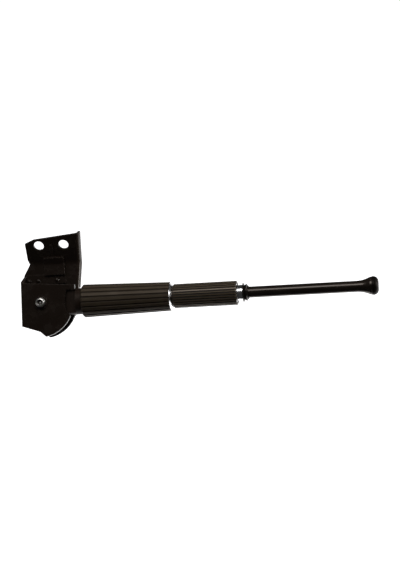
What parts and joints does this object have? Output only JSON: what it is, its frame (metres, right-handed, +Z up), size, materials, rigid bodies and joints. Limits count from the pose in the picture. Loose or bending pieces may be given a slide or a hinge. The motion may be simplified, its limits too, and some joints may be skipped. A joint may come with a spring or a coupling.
{
  "type": "door security bar",
  "caption": "Door-mounted brace: folded steel clevis bracket, fluted arm that swings down, twist-lock sleeve, sliding tube with a rubber foot.",
  "frame": {"origin": "centre of the two mounting holes on the back face of the mounting plate", "axes": "+X along the stored arm towards its rubber foot, +Y through the plate into the door, +Z up"},
  "size_m": [0.3496, 0.0592, 0.0946],
  "materials": {
    "black_steel": "gloss black enamel",
    "gloss_black": "high gloss black enamel",
    "bare_steel": "bright zinc plate",
    "chrome": "polished",
    "bronze": "plain bearing metal",
    "white_nylon": "plain",
    "grip_black": "fluted, satin",
    "sleeve_black": "ribbed, semi-gloss",
    "gland_black": "gloss",
    "rubber": "satin"
  },
  "bodies": {
    "bracket": {"bracket": "black_steel", "stiffener": "black_steel", "stiffener_rivets": "black_steel", "pivot_bolt": "bare_steel", "pivot_washers": "black_steel", "pivot_nut": "bare_steel", "pivot_bush": "bronze", "friction_washers": "white_nylon"},
    "arm": {"knuckle": "black_steel", "knuckle_bearing": "bronze", "outer_tube": "bare_steel", "spigot_pins": "bare_steel", "grip": "grip_black", "grip_end_ring": "chrome", "nose_bush": "bare_steel", "retaining_ring": "bare_steel", "clamp_collet": "bronze"},
    "sleeve": {"lock_sleeve": "sleeve_black", "sleeve_insert": "bronze", "chrome_collar": "chrome", "gland": "gland_black", "wiper_ring": "rubber"},
    "inner": {"inner_tube": "gloss_black", "guide_bush": "white_nylon", "guide_pin": "bare_steel", "end_ferrule": "gloss_black", "tip_plug": "gland_black", "rubber_tip": "rubber"}
  },
  "joints": [
    {"name": "arm_pivot", "type": "hinge", "parent": "bracket", "child": "arm", "pos_m": [-0.0103, -0.02953, -0.04974], "axis": [0, 0.848, -0.5299], "range_deg": [0, 95]},
    {"name": "sleeve_twist", "type": "hinge", "parent": "arm", "child": "sleeve", "pos_m": [-0.0103, -0.02953, -0.04974], "axis": [1, 0, 0], "range_deg": [0, 180]},
    {"name": "tube_slide", "type": "slide", "parent": "arm", "child": "inner", "axis": [1, 0, 0], "range_m": [-0.019, 0.038]}
  ]
}
